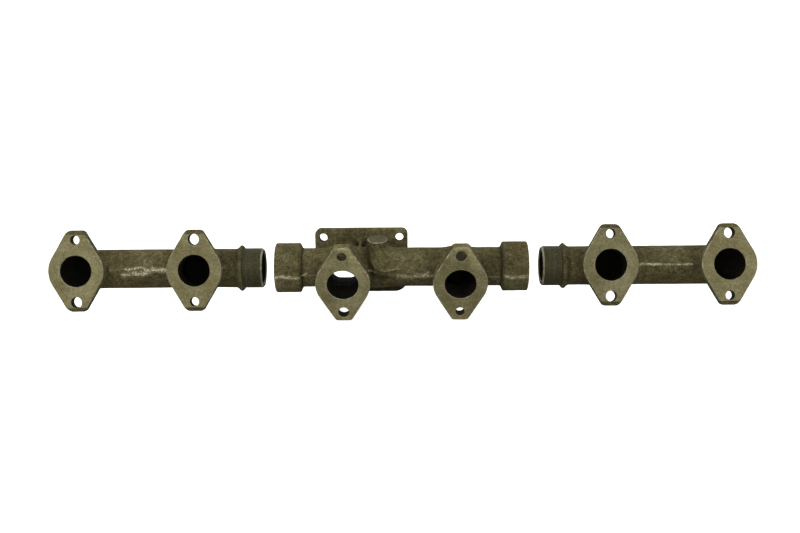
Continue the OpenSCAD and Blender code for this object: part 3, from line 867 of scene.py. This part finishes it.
cut(centre, [facing_cutter("face", -HALF), facing_cutter("face", HALF),
    lathe("socket", (-MOUTH, AX, 0), (1, 0, 0), sock, 144, ring=False, mats=sock_m),
    lathe("socket", (MOUTH, AX, 0), (-1, 0, 0), sock, 144, ring=False, mats=sock_m),
    loops_mesh("turbo", [turbo_outline(6, 60), turbo_outline(6, REACH + TT - 6.8), turbo_outline(-0.8, REACH + TT)], mats=[EDGE, EDGE, EDGE, FACED]),
    lathe("boss", (BOSS_X, BOSS_Y, 0), (0, 0, 1), [(50, 15), (BOSS_Z - 2.9, 15), (BOSS_Z, 12.1)], 96, ring=False, mats=[EDGE, EDGE, EDGE, FACED])])
cut(centre, [port_lip(-HALF), port_lip(HALF)]
    + [stud_hole(x, z, r) for x, z, r in ((-HALF, STUD, SMALL), (-HALF, -STUD, LARGE), (HALF, STUD, LARGE), (HALF, -STUD, SMALL))]
    + [lathe("turbo_hole", turbo_point(a * TDX, b * TDZ + LIFT, 0), normal, [(28, THOLE), (REACH + TT - 0.6, THOLE), (REACH + TT + 1.4, THOLE + 2)], 56, ring=False, mats=[HOLE, EDGE, HOLE, HOLE])
       for a in (-1, 1) for b in (-1, 1)])


def centre_tone_and_painted_light(X, Y, Z):
    """Lightness of the centre casting's skin: painted highlight on the tips' top faces and on the upper edge of the
    turbocharger flange, dull boss, painted shade on the belly and on the pipe behind the port flanges.
    """
    v = 1.10 - 0.0006 * (X + HALF)
    # painted shade: darker towards the bottom of the turbocharger flange and ducts
    v = v * np.clip(1.0 + (Z + 20) * 0.09 * (Y > AX + 12), 0.36, 1)
    # painted highlight on the top faces of the port flange tips
    v = np.where((Z > TIP_H - 1.6) & (Y < 16), v * 1.75, v)
    # painted highlight on the upper edge of the turbocharger flange
    v = np.where((Z > 28) & (Z < 46) & (Y > AX + 36), v * 1.12, v)
    # painted shade on the pipe's top front behind the port flanges
    behind = np.exp(-((np.abs(np.abs(X) - HALF) / 9) ** 2)) * np.clip((Z - 6) / 8, 0, 1) * np.clip((Y - 15) / 2, 0, 1) * np.clip((AX - 2 - Y) / 8, 0, 1)
    v = v * (1 - 0.45 * behind)
    top = (Z > BOSS_Z - 1.2) & (np.hypot(X - BOSS_X, Y - BOSS_Y) < BOSS_R + 1)
    return np.where(top, 0.46, v)


finish_mesh(centre, centre_inner, [
    (LIP[:5], 1.4, 0.60), ([(-46, 6.5), (-40, 5.2), (-34, 4.0)], 1.9, 0.55), ([(-4, -0.2), (12, -2.0), (41, -0.6)], 3.4, 0.78), ([(28, 0.2), (35, 3.4)], 2.8, 0.84), ([(20, 2.8), (30, 0.6)], 2.0, 0.66),
    ([(-166, 1.4), (-156, 3.0), (-146, 1.3), (-133, 0.6)], 2.9, 0.90), ([(-160, 2.4), (-152, 3.6)], 2.6, 0.95), ([(134, 1.0), (143, -0.8), (152, 0.0), (166, 1.6)], 3.6, 0.72),
    ([(-132, 1.3), (-113, 1.6)], 1.7, 0.62), ([(-126, 2.0), (-123, 4.0)], 2.2, 0.85), ([(112, -2.4), (127, -2.8)], 1.7, 0.62)],
    centre_tone_and_painted_light,
    # painted shadow strokes: the valley between the elbows, below the crease, low on the ducts, and on the pipe behind
    # the port flanges
    painted_shadow_strokes=[(VALLEY, 4.8, 0.95), ([(-38, 0), (-22, -3)], 6.0, 1.0), ([(-44, -14), (-10, -16)], 9.0, 0.5), ([(-75, 8), (-75, 22)], 7.0, 0.7), ([(75, 8), (75, 22)], 7.0, 0.7)])
for ob, body, nodes in ((left, "left_casting", ("port_flange_1", "port_flange_2", "left_log_pipe", "left_spigot")),
                        (right, "right_casting", ("port_flange_5", "port_flange_6", "right_log_pipe", "right_spigot")),
                        (centre, "centre_casting", ("port_flange_3", "port_flange_4", "turbo_flange", "left_socket", "right_socket"))):
    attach(ob, body)
    others = [n for n in frame["record"]["behaviour"]["bodies"][body] if n not in nodes]
    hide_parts(*nodes, *others)

# ---------------------------------------------------------------- seal rings stay as packed
steel = ring_iron()
for name, ob in frame["nodes"].items():
    if name.endswith("seal_ring"):
        ob.data.materials.clear()
        ob.data.materials.append(steel)

# ---------------------------------------------------------------- camera
PITCH_DOWN, YAW, ROLL, FOCAL = math.radians(-26.9), math.radians(0.26), math.radians(0.43), 946.0
rx = np.array([[1, 0, 0], [0, math.cos(PITCH_DOWN), -math.sin(PITCH_DOWN)], [0, math.sin(PITCH_DOWN), math.cos(PITCH_DOWN)]])
ry = np.array([[math.cos(YAW), 0, math.sin(YAW)], [0, 1, 0], [-math.sin(YAW), 0, math.cos(YAW)]])
rz = np.array([[math.cos(ROLL), -math.sin(ROLL), 0], [math.sin(ROLL), math.cos(ROLL), 0], [0, 0, 1]])
R = rz @ ry @ rx @ np.array([[1, 0, 0], [0, 0, 1], [0, 1, 0]])
t = np.array([2.06, -26.57 + 3.2, 1201.7])
pos = -R.T @ t / 1000
cam_data = bpy.data.cameras.new("camera")
cam = bpy.data.objects.new("camera", cam_data)
bpy.context.scene.collection.objects.link(cam)
cam_data.sensor_width = 36
cam_data.lens = FOCAL * 36 / 800
cam_data.clip_start, cam_data.clip_end = 0.01, 100
m = Matrix.Identity(4)
for i in range(3):
    m[i][0], m[i][1], m[i][2], m[i][3] = R[0][i], R[1][i], -R[2][i], pos[i]
cam.matrix_world = m
bpy.context.scene.camera = cam

# ---------------------------------------------------------------- light, floor
scene = bpy.context.scene
scene.view_settings.view_transform = "Standard"
scene.view_settings.look = "None"
world = bpy.data.worlds.new("studio")
scene.world = world
world.use_nodes = True
wt = world.node_tree
wt.nodes.clear()
wo = wt.nodes.new("ShaderNodeOutputWorld")
bg = wt.nodes.new("ShaderNodeBackground")
wt.links.new(bg.outputs[0], wo.inputs[0])
tc = wt.nodes.new("ShaderNodeTexCoord")
sep = wt.nodes.new("ShaderNodeSeparateXYZ")
wt.links.new(tc.outputs["Generated"], sep.inputs[0])
rmp = wt.nodes.new("ShaderNodeValToRGB")
mr = wt.nodes.new("ShaderNodeMapRange")
mr.inputs["From Min"].default_value, mr.inputs["From Max"].default_value = -1, 1
wt.links.new(sep.outputs["Z"], mr.inputs["Value"])
wt.links.new(mr.outputs[0], rmp.inputs[0])
e = rmp.color_ramp.elements
e[0].position, e[0].color = 0.0, (0.28, 0.28, 0.28, 1)
e[1].position, e[1].color = 1.0, (1.0, 1.0, 1.0, 1)
k = e.new(0.46)
k.color = (0.44, 0.44, 0.44, 1)
k = e.new(0.50)
k.color = (1.0, 1.0, 1.0, 1)
wt.links.new(rmp.outputs[0], bg.inputs[0])
bg.inputs[1].default_value = 1.0


def area(name, loc, target, size, power, color=(1, 1, 1)):
    ld = bpy.data.lights.new(name, "AREA")
    ld.shape = "RECTANGLE"
    ld.size, ld.size_y = size
    ld.energy = power
    ld.color = color
    ob = bpy.data.objects.new(name, ld)
    scene.collection.objects.link(ob)
    ob.location = loc
    ob.rotation_euler = (Vector(target) - Vector(loc)).to_track_quat("-Z", "Y").to_euler()
    return ob


area("key", (-0.7, -1.3, 1.3), (0, 0.05, 0), (1.6, 0.9), 8)
area("fill", (0.9, -1.5, 0.5), (0, 0.05, 0), (1.4, 0.8), 4)

lo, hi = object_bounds()
bm = bmesh.new()
half = 12.0
for x, y in ((-half, -half), (half, -half), (half, half), (-half, half)):
    bm.verts.new((x, y, lo.z - 0.0006))
bm.verts.ensure_lookup_table()
bm.faces.new(bm.verts)
me = bpy.data.meshes.new("floor")
bm.to_mesh(me)
bm.free()
floor = new_object("floor", me)
fm = bpy.data.materials.new("pale_floor")
fm.use_nodes = True
fb = fm.node_tree.nodes["Principled BSDF"]
fb.inputs["Base Color"].default_value = (0.86, 0.86, 0.85, 1)
fb.inputs["Roughness"].default_value = 0.9
fb.inputs["Specular IOR Level"].default_value = 0.0
fb.inputs["Emission Color"].default_value = (1, 1, 1, 1)
fb.inputs["Emission Strength"].default_value = 0.80
me.materials.append(fm)
floor.visible_diffuse = False
floor.visible_glossy = False
